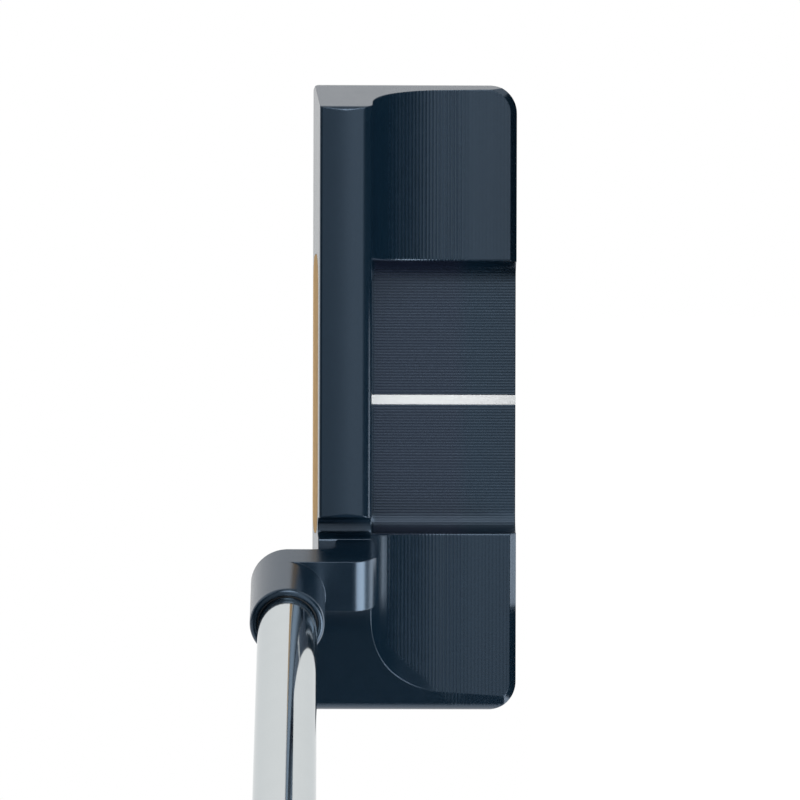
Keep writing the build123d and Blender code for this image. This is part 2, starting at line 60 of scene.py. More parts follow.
class Value:
    """A number that varies over a surface: a shader socket with Python's arithmetic."""

    def __init__(self, tree: "Shader", socket: bpy.types.NodeSocket) -> None:
        """Wrap one output socket.

        Args:
            tree: the shader that the socket belongs to.
            socket: the output to wrap.
        """
        self.tree = tree
        self.socket = socket

    def _math(self, operation: str, *operands: Any) -> "Value":
        """Add one Math node with these operands, in order."""
        made = self.tree.node("ShaderNodeMath", {"operation": operation}, dict(enumerate(operands)))
        return Value(self.tree, made.outputs[0])

    def __add__(self, other: Any) -> "Value":
        """Sum."""
        return self._math("ADD", self, other)

    def __radd__(self, other: Any) -> "Value":
        """Sum with a number on the left."""
        return self._math("ADD", other, self)

    def __sub__(self, other: Any) -> "Value":
        """Difference."""
        return self._math("SUBTRACT", self, other)

    def __rsub__(self, other: Any) -> "Value":
        """Difference from a number."""
        return self._math("SUBTRACT", other, self)

    def __mul__(self, other: Any) -> "Value":
        """Product."""
        return self._math("MULTIPLY", self, other)

    def __rmul__(self, other: Any) -> "Value":
        """Product with a number on the left."""
        return self._math("MULTIPLY", other, self)

    def __truediv__(self, other: Any) -> "Value":
        """Quotient."""
        return self._math("DIVIDE", self, other)

    def sine(self) -> "Value":
        """Sine, in radians."""
        return self._math("SINE", self)

    def magnitude(self) -> "Value":
        """The value without its sign."""
        return self._math("ABSOLUTE", self)

    def raised(self, power: float) -> "Value":
        """The value to a power."""
        return self._math("POWER", self, power)

    def ramp(self, low: float, high: float, start: float = 0.0, end: float = 1.0) -> "Value":
        """Ease from one value to another while this one runs from low to high.

        Args:
            low: where the ramp starts.
            high: where it ends; it may be below low.
            start: the result at low and before it.
            end: the result at high and past it.

        Returns:
            The eased value.
        """
        if low > high:
            low, high, start, end = high, low, end, start
        settings = {"interpolation_type": "SMOOTHSTEP"}
        sockets = {0: self, 1: low, 2: high, 3: start, 4: end}
        return Value(self.tree, self.tree.node("ShaderNodeMapRange", settings, sockets).outputs[0])

    def within(self, low: float, high: float, soft: float) -> "Value":
        """One between low and high, easing to zero over a soft edge outside them."""
        return self.ramp(low - soft, low) * self.ramp(high + soft, high)


class Shader:
    """A node tree under construction, with one method that adds any node."""

    def __init__(self, tree: bpy.types.NodeTree) -> None:
        """Start on an empty copy of a tree.

        Args:
            tree: the node tree of a material or of the world.
        """
        self.tree = tree
        tree.nodes.clear()

    def node(self, kind: str, settings: dict[str, Any], sockets: dict[Any, Any]) -> bpy.types.Node:
        """Add a node, set it up, then fill or link its sockets.

        Args:
            kind: the node's type name.
            settings: its properties, or "stops" for a colour ramp.
            sockets: input name or number to a number, tuple, Value, node or output socket.

        Returns:
            The node.
        """
        made = self.tree.nodes.new(kind)
        for name, value in settings.items():
            if name == "stops":
                self._stops(made.color_ramp, value)
            else:
                setattr(made, name, value)
        for name, value in sockets.items():
            if isinstance(value, Value):
                self.tree.links.new(value.socket, made.inputs[name])
            elif isinstance(value, bpy.types.Node):
                self.tree.links.new(value.outputs[0], made.inputs[name])
            elif isinstance(value, bpy.types.NodeSocket):
                self.tree.links.new(value, made.inputs[name])
            else:
                made.inputs[name].default_value = value
        return made

    @staticmethod
    def _stops(ramp: bpy.types.ColorRamp, stops: Iterable[tuple[float, Colour]]) -> None:
        """Fill a colour ramp with (position, colour) stops."""
        for index, (position, colour) in enumerate(stops):
            spare = index < len(ramp.elements)
            stop = ramp.elements[index] if spare else ramp.elements.new(position)
            stop.position = position
            stop.color = (*colour, 1.0)

    def place(self) -> tuple[bpy.types.NodeSocket, Value, Value, Value]:
        """Object coordinates as a vector and as three values, in metres."""
        vector = self.node("ShaderNodeTexCoord", {}, {}).outputs["Object"]
        parts = self.node("ShaderNodeSeparateXYZ", {}, {0: vector})
        return vector, *(Value(self, parts.outputs[axis]) for axis in "XYZ")

    def scaled(self, vector: Any, scale: Colour) -> bpy.types.NodeSocket:
        """Stretch a vector by a factor along each axis."""
        settings = {"operation": "MULTIPLY"}
        return self.node("ShaderNodeVectorMath", settings, {0: vector, 1: scale}).outputs[0]

    def noise(self, vector: Any, scale: float, detail: float = 2.0, rough: float = 0.5) -> Value:
        """Smooth noise from 0 to 1.

        Args:
            vector: where to read it.
            scale: blobs per metre.
            detail: octaves.
            rough: how strong the finer octaves are.

        Returns:
            The noise.
        """
        sockets = {"Vector": vector, "Scale": scale, "Detail": detail, "Roughness": rough}
        return Value(self, self.node("ShaderNodeTexNoise", {}, sockets).outputs["Fac"])

    def mixed(self, share: Any, first: Any, second: Any) -> bpy.types.NodeSocket:
        """Blend two colours by a share from 0 to 1."""
        pads = [(*c, 1.0) if isinstance(c, tuple) else c for c in (first, second)]
        sockets = {0: share, 6: pads[0], 7: pads[1]}
        return self.node("ShaderNodeMix", {"data_type": "RGBA"}, sockets).outputs[2]

    def bump(self, height: Value, depth: float, below: Any = None) -> bpy.types.NodeSocket:
        """Turn a height from 0 to 1 into a normal.

        Args:
            height: the pattern.
            depth: its real height in metres.
            below: a normal to add it to.

        Returns:
            The normal.
        """
        sockets = {"Height": height, "Distance": depth, "Strength": 1.0}
        if below is not None:
            sockets["Normal"] = below
        return self.node("ShaderNodeBump", {}, sockets).outputs[0]


def material(name: str) -> tuple[bpy.types.Material, Shader]:
    """Make an empty material and the shader that fills it."""
    made = bpy.data.materials.new(name)
    made.use_nodes = True
    return made, Shader(made.node_tree)


def principled(shader: Shader, sockets: dict[str, Any]) -> bpy.types.Node:
    """Add a Principled surface and join it to the material's output."""
    surface = shader.node("ShaderNodeBsdfPrincipled", {}, sockets)
    shader.node("ShaderNodeOutputMaterial", {}, {0: surface})
    return surface


def tinted(colour: Colour, factor: float) -> Colour:
    """A colour made lighter or darker by a factor."""
    return tuple(part * factor for part in colour)


# ---- finishes ------------------------------------------------------------------------------------

@dataclass(frozen=True)
class NavySatin:
    """Dark navy vapour coating on milled steel: cutter lines, softened edges, faint mottling, and a purplish
    painted shade on the pad just behind the blade wall.
    """

    colour: Colour = (0.0030, 0.0120, 0.0235)
    # painted shade: a purplish tint for the pad just behind the blade's rear wall, standing in for the shade
    # that wall casts
    painted_blade_shade: Colour = (0.0140, 0.0110, 0.0260)
    sheen_tint: Colour = (0.57, 0.76, 1.0)
    index: float = 1.75
    roughness: float = 0.23
    cove_heel_x: tuple[float, float] = (19.8 * MM, 22.9 * MM)
    edge_radius: float = 0.25 * MM
    shoulder_slope: float = 1.09
    shoulder_line: tuple[float, float] = (-51.5 * MM, -50.0 * MM)
    pad_x: tuple[float, float] = (-24.1 * MM, 23.1 * MM)
    cove_y: tuple[float, float] = (-7.3 * MM, 2.7 * MM)
    pad_pitch: float = 0.50 * MM
    cove_pitch: float = 0.62 * MM
    sole_pitch: float = 0.45 * MM
    line_depth: float = 0.030 * MM

    def make(self) -> bpy.types.Material:
        """Build the material.

        Returns:
            The material for the head and the neck.
        """
        made, shader = material("navy_satin")
        vector, x, y, z = shader.place()
        up = self._upward(shader)
        mottle = shader.noise(vector, 420.0, 4.0, 0.6)
        cloud = shader.noise(vector, 60.0, 2.0)
        grain = shader.noise(shader.scaled(vector, (1.0, 1.0, 6.0)), 2600.0, 3.0, 0.7)

        on_pad = x.within(*self.pad_x, 0.3 * MM) * y.ramp(self.cove_y[0], self.cove_y[0] + MM)
        in_cove = y.within(self.cove_y[0], self.cove_y[1] + 4.0 * MM, 4.0 * MM)
        behind = y.ramp(self.cove_y[0], self.cove_y[0] + MM)
        on_step = behind * (y - x * self.shoulder_slope).ramp(*self.shoulder_line)
        pad_lines = self._lines(shader, x, y, self.pad_pitch) * on_pad * up
        cove_lines = self._lines(shader, y, x, self.cove_pitch) * (1.0 - on_pad) * up * on_step
        sole_lines = self._lines(shader, y, x, self.sole_pitch) * z.ramp(1.2 * MM, 0.4 * MM)
        height = pad_lines * 0.8 + cove_lines * (0.35 + in_cove * 0.5) + sole_lines + grain * 0.25

        soft = shader.node("ShaderNodeBevel", {"samples": 6}, {"Radius": self.edge_radius})
        normal = shader.bump(height, self.line_depth, soft)
        # painted shade: the pad just behind the blade's rear wall is mixed toward the purplish tint, as if
        # shaded by that wall
        base = shader.mixed(in_cove * on_pad * 0.8, self.colour, self.painted_blade_shade)
        light = shader.mixed(mottle * 0.5 + cloud * 0.5, tinted(self.colour, 0.6), tinted(self.colour, 1.4))
        colour = shader.mixed(0.45, base, light)
        at_heel = x.within(*self.cove_heel_x, 0.4 * MM) * y.ramp(self.cove_y[0], self.cove_y[0] + MM)
        roughness = self.roughness + (mottle - 0.5) * 0.05 + (grain - 0.5) * 0.06
        roughness = roughness + at_heel * 0.20 + (pad_lines + cove_lines * in_cove) * 0.10
        principled(shader, {
            "Base Color": colour, "IOR": self.index, "Specular Tint": (*self.sheen_tint, 1.0),
            "Roughness": roughness, "Normal": normal,
        })
        return made

    @staticmethod
    def _upward(shader: Shader) -> Value:
        """One where the surface faces up, zero where it is steeper than about 45 degrees."""
        facing = shader.node("ShaderNodeTexCoord", {}, {}).outputs["Normal"]
        parts = shader.node("ShaderNodeSeparateXYZ", {}, {0: facing})
        return Value(shader, parts.outputs["Z"]).ramp(0.6, 0.9)

    @staticmethod
    def _lines(shader: Shader, across: Value, along: Value, pitch: float) -> Value:
        """Cutter lines, a little uneven in depth and place.

        Args:
            shader: the shader to build in.
            across: the coordinate that crosses the lines.
            along: the coordinate that runs with them.
            pitch: the distance between lines.

        Returns:
            A height from 0 to 1.
        """
        parts = {0: across * 900.0, 1: along * 12.0, 2: 0.0}
        vector = shader.node("ShaderNodeCombineXYZ", {}, parts)
        wander = shader.noise(vector, 1.0, 3.0, 0.6)
        wave = (across * (2 * math.pi / pitch) + wander * 2.5).sine() * 0.5 + 0.5
        return wave * (0.4 + wander * 0.9)


@dataclass(frozen=True)
class GoldAnodised:
    """Matt gold anodising over fine cutter grain."""

    colour: Colour = (0.68, 0.48, 0.27)
    edge_tint: Colour = (0.80, 0.68, 0.50)
    roughness: float = 0.45

    def make(self) -> bpy.types.Material:
        """Build the material.

        Returns:
            The material for the face insert.
        """
        made, shader = material("gold_anodised")
        vector = shader.place()[0]
        grain = shader.noise(shader.scaled(vector, (0.15, 1.0, 1.0)), 5200.0, 3.0, 0.7)
        cloud = shader.noise(vector, 300.0, 2.0)
        colour = shader.mixed(grain * 0.6 + cloud * 0.4, tinted(self.colour, 0.78), tinted(self.colour, 1.16))
        principled(shader, {
            "Base Color": colour, "Metallic": 1.0, "Specular Tint": (*self.edge_tint, 1.0),
            "Roughness": self.roughness + (grain - 0.5) * 0.15,
            "Normal": shader.bump(grain, 0.006 * MM),
        })
        return made


@dataclass(frozen=True)
class LinePaint:
    """Thick white paint levelled in a milled groove."""

    colour: Colour = (0.93, 0.96, 0.97)

    def make(self) -> bpy.types.Material:
        """Build the material.

        Returns:
            The material for the sight line.
        """
        made, shader = material("line_paint")
        vector, x = shader.place()[:2]
        cloud = shader.noise(vector, 900.0, 3.0, 0.6)
        edge = (x + 0.15 * MM).magnitude().ramp(0.70 * MM, 0.83 * MM)
        pale = shader.mixed(cloud, tinted(self.colour, 0.95), tinted(self.colour, 1.05))
        principled(shader, {
            "Base Color": shader.mixed(edge * 0.25, pale, tinted(self.colour, 0.5)),
            "Roughness": 0.42 + cloud * 0.1,
            "Normal": shader.bump(cloud - edge, 0.02 * MM),
        })
        return made


@dataclass(frozen=True)
class Chrome:
    """Polished chrome plate with faint lengthwise polishing marks."""

    colour: Colour = (0.64, 0.67, 0.675)
    edge_tint: Colour = (0.78, 0.80, 0.81)
    roughness: float = 0.07

    def make(self) -> bpy.types.Material:
        """Build the material.

        Returns:
            The material for the shaft.
        """
        made, shader = material("shaft_chrome_plate")
        vector = shader.place()[0]
        haze = shader.noise(vector, 160.0, 3.0, 0.6)
        marks = shader.noise(shader.scaled(vector, (1.0, 1.0, 0.02)), 4200.0, 2.0, 0.6)
        colour = shader.mixed(haze, tinted(self.colour, 0.97), tinted(self.colour, 1.03))
        principled(shader, {
            "Base Color": colour, "Metallic": 1.0, "Specular Tint": (*self.edge_tint, 1.0),
            "Roughness": self.roughness + (haze - 0.5) * 0.03 + marks * 0.015,
            "Normal": shader.bump(marks, 0.0004 * MM),
        })
        return made


@dataclass(frozen=True)
class TurnedSteel:
    """Turned steel with fine rings round one centre."""

    centre: tuple[float, float]
    name: str = "turned_steel"
    colour: Colour = (0.50, 0.50, 0.51)
    pitch: float = 0.30 * MM

    def make(self) -> bpy.types.Material:
        """Build the material.

        Returns:
            The material for one sole weight.
        """
        made, shader = material(self.name)
        vector, x, y = shader.place()[:3]
        away = ((x - self.centre[0]).raised(2.0) + (y - self.centre[1]).raised(2.0)).raised(0.5)
        rings = (away * (2 * math.pi / self.pitch)).sine() * 0.5 + 0.5
        grain = shader.noise(vector, 3000.0, 2.0)
        colour = shader.mixed(grain, tinted(self.colour, 0.9), tinted(self.colour, 1.1))
        principled(shader, {
            "Base Color": colour, "Metallic": 1.0, "Roughness": 0.26 + grain * 0.1,
            "Normal": shader.bump(rings * 0.7 + grain * 0.3, 0.004 * MM),
        })
        return made


class Grain(Enum):
    """Surface grain of a moulded or cast material, in blobs per metre and depth in metres."""

    RUBBER = (1500.0, 0.03 * MM)
    FOAM = (900.0, 0.08 * MM)
    FILM = (4000.0, 0.003 * MM)
    RESIN = (700.0, 0.02 * MM)
    CLOTH = (2200.0, 0.02 * MM)


@dataclass(frozen=True)
class Moulded:
    """Rubber, foam, film or resin: one body colour with grain and slight mottling."""

    name: str
    colour: Colour
    roughness: float
    grain: Grain
    spread: float = 0.15

    def make(self) -> bpy.types.Material:
        """Build the material.

        Returns:
            The material.
        """
        made, shader = material(self.name)
        vector = shader.place()[0]
        scale, depth = self.grain.value
        grain = shader.noise(vector, scale, 3.0, 0.6)
        cloud = shader.noise(vector, scale / 12.0, 2.0)
        low, high = tinted(self.colour, 1.0 - self.spread), tinted(self.colour, 1.0 + self.spread)
        principled(shader, {
            "Base Color": shader.mixed(grain * 0.5 + cloud * 0.5, low, high),
            "Roughness": self.roughness + (grain - 0.5) * 0.12,
            "Normal": shader.bump(grain, depth),
        })
        return made


# ---- sub-assemblies ------------------------------------------------------------------------------

def add_piece(
    name: str, mesh: bmesh.types.BMesh, finish: bpy.types.Material, nodes: tuple[str, ...],
) -> bpy.types.Object:
    """Turn a mesh into a piece of the club that stands for one or more frame nodes.

    Args:
        name: the piece's name.
        mesh: its shape in the frame's axes, which is freed.
        finish: its material.
        nodes: the frame nodes that it replaces.

    Returns:
        The piece.
    """
    data = bpy.data.meshes.new(name)
    mesh.to_mesh(data)
    mesh.free()
    data.polygons.foreach_set("use_smooth", [True] * len(data.polygons))
    data.set_sharp_from_angle(angle=math.radians(32.0))
    data.materials.append(finish)
    piece = bpy.data.objects.new(name, data)
    bpy.context.scene.collection.objects.link(piece)
    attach(piece, BODY)
    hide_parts(*nodes)
    log.info("built %s: %d faces, in %s", name, len(data.polygons), finish.name)
    return piece


def extruded_rows(
    segments: int, rows: Iterable[tuple[Callable[[float], float], float]],
) -> tuple[bmesh.types.BMesh, list[bmesh.types.BMEdge], list[bmesh.types.BMEdge]]:
    """Extrude a ring of edges from row to row round the Z axis.

    Args:
        segments: edges in the ring.
        rows: for each row, the outline's radius at an angle, and the row's height.

    Returns:
        The mesh, the edges of its first row and those of its last.
    """
    mesh = bmesh.new()
    bmesh.ops.create_circle(mesh, segments=segments, radius=1.0)
    first = loop = list(mesh.edges)
    verts = list(mesh.verts)
    for number, (reach, height) in enumerate(rows):
        if number:
            made = bmesh.ops.extrude_edge_only(mesh, edges=loop)["geom"]
            verts = [part for part in made if isinstance(part, bmesh.types.BMVert)]
            fresh = set(verts)
            edges = [part for part in made if isinstance(part, bmesh.types.BMEdge)]
            loop = [edge for edge in edges if fresh.issuperset(edge.verts)]
        for vert in verts:
            angle = math.atan2(vert.co.y, vert.co.x)
            radius = reach(angle)
            vert.co = (radius * math.cos(angle), radius * math.sin(angle), height)
    return mesh, first, loop


def shaft_line() -> Matrix:
    """The shaft's own axes: X across it towards the heel, Y to the back of the head, Z up the shaft.

    Returns:
        A matrix from those axes to the frame, with its origin where the axis meets the ground.
    """
    low, high = (sum(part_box(node), Vector()) / 2 for node in ("shaft_tip_plug", "grip_tape"))
    up = (high - low).normalized()
    back = Vector((0.0, 1.0, 0.0))
    across = back.cross(up)
    turn = Matrix((across, back, up)).transposed().to_4x4()
    return Matrix.Translation(low - up * (low.z / up.z)) @ turn



def dress(node: str, finish: bpy.types.Material) -> None:
    """Give a finish to every slot of a frame node.

    Args:
        node: the node's name.
        finish: its material.
    """
    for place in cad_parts[node].material_slots:
        place.material = finish
    log.info("dressed %s in %s", node, finish.name)


@dataclass
class FaceInsert:
    """The gold face plate, milled with shallow grooves that stop short of its rim."""

    lean: float = math.radians(3.1)
    pitch: float = 0.95 * MM
    land: float = 0.14 * MM
    rim: float = 0.9 * MM
    depth: float = 0.10 * MM

    def build(self) -> bpy.types.Object:
        """Cut the grooves in a copy of the frame's plate.

        Returns:
            The plate.
        """
        mesh = bmesh.new()
        mesh.from_mesh(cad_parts["face_insert"].data)
        bmesh.ops.remove_doubles(mesh, verts=mesh.verts, dist=0.001 * MM)
        bmesh.ops.dissolve_limit(
            mesh, angle_limit=math.radians(0.5), verts=mesh.verts, edges=mesh.edges,
        )
        up = Vector((0.0, math.sin(self.lean), math.cos(self.lean)))
        out = Vector((0.0, -math.cos(self.lean), math.sin(self.lean)))
        heights = [vert.co.dot(up) for vert in mesh.verts]
        low, high = min(heights) + self.rim, max(heights) - self.rim
        count = round((high - low) / self.pitch)
        for number in range(count + 1):
            at = up * (low + (high - low) * number / count)
            geometry = list(mesh.verts) + list(mesh.edges) + list(mesh.faces)
            bmesh.ops.bisect_plane(mesh, geom=geometry, dist=0.0001 * MM, plane_co=at, plane_no=up)
        mesh.normal_update()
        strips = [
            face for face in mesh.faces
            if face.normal.dot(out) > 0.99 and low < face.calc_center_median().dot(up) < high
        ]
        bmesh.ops.inset_individual(mesh, faces=strips, thickness=self.land, depth=-self.depth)
        bmesh.ops.recalc_face_normals(mesh, faces=mesh.faces)
        return add_piece("milled_insert", mesh, GoldAnodised().make(), ("face_insert",))


@dataclass
class SoleWeight:
    """A turned weight screw: a chamfered head with a ring groove and a hexagonal wrench socket."""

    side: str
    head_radius: float = 7.2 * MM
    stem_radius: float = 5.0 * MM
    head_thick: float = 2.2 * MM
    flats: float = 5.0 * MM
    socket_depth: float = 3.2 * MM
    chamfer: float = 0.4 * MM
    groove_in: float = 4.9 * MM
    groove_out: float = 5.5 * MM
    groove_depth: float = 0.2 * MM
    segments: int = 72

    def build(self) -> bpy.types.Object:
        """Turn the weight from its socket's floor out to its stem.

        Returns:
            The weight.
        """
        node = f"{self.side}_weight"
        low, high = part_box(node)
        middle = (low + high) / 2
        face, back, top = low.z, low.z + self.head_thick, high.z
        step = 0.06 * MM
        rows = [
            (self._hexagon, face + self.socket_depth),
            (self._hexagon, face + self.chamfer / 2),
            (self._opening, face),
            (self._round(self.groove_in), face),
            (self._round(self.groove_in + step), face + self.groove_depth),
            (self._round(self.groove_out - step), face + self.groove_depth),
            (self._round(self.groove_out), face),
            (self._round(self.head_radius - self.chamfer), face),
            (self._round(self.head_radius), face + self.chamfer),
            (self._round(self.head_radius), back),
            (self._round(self.stem_radius), back),
            (self._round(self.stem_radius), top),
        ]
        mesh, first, last = extruded_rows(self.segments, rows)
        bmesh.ops.contextual_create(mesh, geom=first)
        bmesh.ops.contextual_create(mesh, geom=last)
        bmesh.ops.translate(mesh, verts=mesh.verts, vec=(middle.x, middle.y, 0.0))
        bmesh.ops.recalc_face_normals(mesh, faces=mesh.faces)
        finish = TurnedSteel((middle.x, middle.y), f"turned_steel_{self.side}").make()
        return add_piece(f"turned_{node}", mesh, finish, (node,))

    def _hexagon(self, angle: float) -> float:
        """Distance from the centre to the wrench socket's wall."""
        turn = math.radians(60.0)
        return self.flats / 2 / math.cos((angle + turn / 2) % turn - turn / 2)

    def _opening(self, angle: float) -> float:
        """The socket's mouth, a little wider than the socket."""
        return self._hexagon(angle) + self.chamfer / 2

    @staticmethod
    def _round(radius: float) -> Callable[[float], float]:
        """A circle's outline."""
        return lambda angle: radius


@dataclass
class Head:
    """The milled head with its neck, insert, sight line and sole weights."""

    navy: NavySatin = field(default_factory=NavySatin)

    def dress(self) -> None:
        """Build the turned and milled pieces and give each node of the head its finish."""
        navy = self.navy.make()
        for node in ("head_body", "crank_neck"):
            dress(node, navy)
        FaceInsert().build()
        for side in ("toe", "heel"):
            SoleWeight(side).build()
        dress("sight_line_fill", LinePaint().make())
        bed = Moulded("soft_bed_rubber", (0.03, 0.03, 0.032), 0.7, Grain.RUBBER).make()
        for node in ("insert_backing", "toe_weight_washer", "heel_weight_washer"):
            dress(node, bed)


@dataclass
class Shaft:
    """The chromed tube, its bond, tip plug and band."""

    def dress(self) -> None:
        """Give each node of the shaft its finish."""
        dress("shaft", Chrome().make())
        dress("shaft_bond", Moulded("bond_resin_black", (0.012, 0.014, 0.018), 0.35, Grain.RESIN).make())
        dress("shaft_tip_plug", Moulded("plug_foam_grey", (0.3, 0.3, 0.3), 0.9, Grain.FOAM).make())
        dress("shaft_band", Moulded("band_film_grey", (0.05, 0.055, 0.06), 0.3, Grain.FILM).make())


@dataclass
class Grip:
    """The pistol grip: core, wrap, mouth ring, end cap and the tape under it."""

    length: float = 267.0 * MM
    ring_length: float = 5.0 * MM
    cap_thick: float = 4.0 * MM
    wrap_thick: float = 1.1 * MM
    front_round: float = 0.55
    back_round: float = 0.95
    # share of the length, then flat side, back side and half width, all from the shaft's axis
    stations: tuple[tuple[float, float, float, float], ...] = (
        (0.00, 9.6 * MM, 10.2 * MM, 10.1 * MM),
        (0.25, 10.0 * MM, 10.9 * MM, 10.7 * MM),
        (0.52, 10.5 * MM, 12.2 * MM, 11.8 * MM),
        (0.80, 11.1 * MM, 15.2 * MM, 13.2 * MM),
        (1.00, 11.6 * MM, 17.4 * MM, 14.0 * MM),
    )
    segments: int = 84
    row_pitch: float = 1.25 * MM
    inner_rows: int = 12
    dimple: float = 0.24 * MM
    dimple_depth: float = 0.22 * MM
    dimple_every: int = 3
    slot_every: int = 4
    slot_half: float = 5.0 * MM
    plain_end: float = 7.0 * MM
    # a face turned this far toward the flat, or this far away from it, carries no dimple
    flat_facing: float = -0.97
    back_facing: float = 0.985

    def build(self) -> bpy.types.Object:
        """Mould the wrap: a closed skin with slots across its flat and dimples round the rest.

        Returns:
            The wrap.
        """
        line = shaft_line()
        low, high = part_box("grip_tape")
        middle = (line.inverted() @ ((low + high) / 2)).z
        half = (self.length - self.cap_thick) / 2
        start, top = middle - half, middle + half
        foot = start + self.ring_length
        count = round((top - foot) / self.row_pitch)
        outside = [foot + (top - foot) * number / count for number in range(count + 1)]
        inside = [top + (foot - top) * number / self.inner_rows for number in range(self.inner_rows + 1)]
        rows = [(self._outline((at - start) / self.length, 0.0), at) for at in outside]
        rows += [(self._outline((at - start) / self.length, self.wrap_thick), at) for at in inside]
        mesh, first, last = extruded_rows(self.segments, rows)
        bmesh.ops.bridge_loops(mesh, edges=first + last)
        self._mould(mesh, outside)
        bmesh.ops.recalc_face_normals(mesh, faces=mesh.faces)
        bmesh.ops.transform(mesh, matrix=line, verts=mesh.verts)
        finish = Moulded("wrap_skin_black", (0.018, 0.019, 0.021), 0.55, Grain.RUBBER).make()
        return add_piece("moulded_wrap", mesh, finish, ("grip_wrap",))

    def _mould(self, mesh: bmesh.types.BMesh, outside: list[float]) -> None:
        """Sink the slots and dimples into the skin's outer faces."""
        mesh.normal_update()
        pitch = outside[1] - outside[0]
        step = 2 * math.pi / self.segments
        slots: dict[int, list[bmesh.types.BMFace]] = {}
        dimples = []
        for face in mesh.faces:
            centre = face.calc_center_median()
            reach = math.hypot(centre.x, centre.y)
            outward = (face.normal.x * centre.x + face.normal.y * centre.y) / reach
            inner = reach < self._outline(0.0, self.wrap_thick / 2)(math.atan2(centre.y, centre.x))
            if abs(outward) < 0.5 or inner or face.calc_area() > 3 * pitch * pitch:
                continue
            if not outside[0] + self.plain_end < centre.z < outside[-1] - self.plain_end:
                continue
            row = int((centre.z - outside[0]) / pitch)
            column = int((math.atan2(centre.y, centre.x) % (2 * math.pi)) / step)
            if face.normal.x < self.flat_facing:
                if row % self.slot_every == 0 and abs(centre.y) < self.slot_half:
                    slots.setdefault(row, []).append(face)
            elif (row + column) % self.dimple_every == 0 and face.normal.x < self.back_facing:
                dimples.append(face)
        for faces in slots.values():
            bmesh.ops.inset_region(
                mesh, faces=faces, thickness=self.dimple, depth=-self.dimple_depth, use_even_offset=True,
            )
        bmesh.ops.inset_individual(mesh, faces=dimples, thickness=self.dimple, depth=-self.dimple_depth)

    def _sizes(self, share: float) -> tuple[float, ...]:
        """Flat side, back side and half width at a share of the length, on a smooth curve."""
        table = self.stations
        index = max(i for i in range(len(table) - 1) if i == 0 or table[i][0] <= share)
        before, after = table[index], table[index + 1]
        width = after[0] - before[0]
        part = (share - before[0]) / width
        sizes = []
        for column in (1, 2, 3):
            slopes = [self._slope(at, column) * width for at in (index, index + 1)]
            cubic = part * part * (3 - 2 * part)
            ease = slopes[0] * part * (1 - part) ** 2 - slopes[1] * part * part * (1 - part)
            sizes.append(before[column] + (after[column] - before[column]) * cubic + ease)
        return tuple(sizes)

    def _slope(self, index: int, column: int) -> float:
        """How fast a size grows at one station."""
        before = self.stations[max(index - 1, 0)]
        after = self.stations[min(index + 1, len(self.stations) - 1)]
        return (after[column] - before[column]) / (after[0] - before[0])

    def _outline(self, share: float, inset: float) -> Callable[[float], float]:
        """The section at a share of the length: a rounded rectangle, flat on the toe side.

        Args:
            share: how far along the grip.
            inset: how far inside the outer surface.

        Returns:
            The distance from the shaft's axis to the outline at an angle.
        """
        flat, back, half = self._sizes(share)
        rounds = (half * self.front_round - inset, half * self.back_round - inset)
        middle = (back - flat) / 2
        half_x, half_y = (back + flat) / 2 - inset, half - inset

        def outside_by(x: float, y: float) -> float:
            """Distance from a point to the rounded rectangle."""
            radius = rounds[1] if x > middle else rounds[0]
            over_x, over_y = abs(x - middle) - half_x + radius, abs(y) - half_y + radius
            corner = math.hypot(max(over_x, 0.0), max(over_y, 0.0))
            return min(max(over_x, over_y), 0.0) + corner - radius

        def reach(angle: float) -> float:
            """March out to the outline."""
            radius = 0.0
            for _ in range(40):
                radius -= outside_by(radius * math.cos(angle), radius * math.sin(angle))
            return radius

        return reach

    def dress(self) -> None:
        """Build the wrap and give each node of the grip its finish."""
        self.build()
        dress("grip_tape", Moulded("tape_cloth", (0.55, 0.5, 0.4), 0.8, Grain.CLOTH).make())
        dress("grip_core", Moulded("core_foam_black", (0.02, 0.02, 0.02), 0.8, Grain.FOAM).make())
        trim = Moulded("trim_rubber_black", (0.012, 0.012, 0.013), 0.45, Grain.RUBBER).make()
        for node in ("grip_mouth_ring", "grip_end_cap"):
            dress(node, trim)


# ---- studio --------------------------------------------------------------------------------------

@dataclass(frozen=True)
class Lamp:
    """A soft round patch of light in the surroundings."""

    toward: Colour
    inner: float
    outer: float
    strength: float


